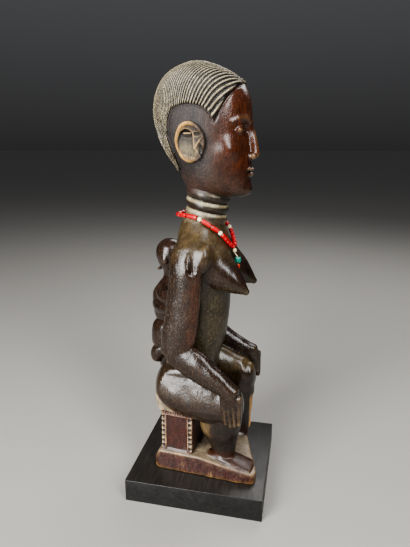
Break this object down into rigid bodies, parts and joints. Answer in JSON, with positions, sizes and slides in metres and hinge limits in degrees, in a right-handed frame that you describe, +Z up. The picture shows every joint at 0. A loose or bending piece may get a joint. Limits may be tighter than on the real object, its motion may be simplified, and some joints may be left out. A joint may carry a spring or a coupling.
{
  "type": "mother and child figure",
  "caption": "Carved wooden figure of a seated mother with a child on her back and hands on her knees, on a notched stool and a black plinth, with a bead necklace.",
  "frame": {"origin": "middle of the plinth's underside", "axes": "+Z up; the plinth's sides lie along X and Y; the mother faces -Y, turned 4.5 degrees towards her right, and her right side is on -X"},
  "size_m": [0.1366, 0.145, 0.4414],
  "materials": {
    "carved_wood": "dark brown patina, polished, with tan wear on the ridges",
    "black_plinth": "black stain, semi-gloss, grain visible",
    "red_bead": "opaque red glass",
    "cream_bead": "opaque cream glass",
    "turquoise_bead": "opaque blue-green glass",
    "coral_drop": "orange-red drop, softly polished",
    "thread": "off-white cotton thread"
  },
  "bodies": {
    "root": {"plinth": "black_plinth", "mother_and_child": "carved_wood", "cream_bead_01": "cream_bead", "red_bead_01": "red_bead", "red_bead_02": "red_bead", "red_bead_03": "red_bead", "red_bead_04": "red_bead", "cream_bead_02": "cream_bead", "red_bead_05": "red_bead", "red_bead_06": "red_bead", "cream_bead_03": "cream_bead", "red_bead_07": "red_bead", "red_bead_08": "red_bead", "red_bead_09": "red_bead", "red_bead_10": "red_bead", "red_bead_11": "red_bead", "red_bead_12": "red_bead", "red_bead_13": "red_bead", "red_bead_14": "red_bead", "red_bead_15": "red_bead", "cream_bead_04": "cream_bead", "red_bead_16": "red_bead", "red_bead_17": "red_bead", "cream_bead_05": "cream_bead", "red_bead_18": "red_bead", "red_bead_19": "red_bead", "red_bead_20": "red_bead", "red_bead_21": "red_bead", "red_bead_22": "red_bead", "join_bead": "cream_bead", "turquoise_bead": "turquoise_bead", "drop_bead": "coral_drop", "necklace_thread": "thread"}
  },
  "joints": []
}
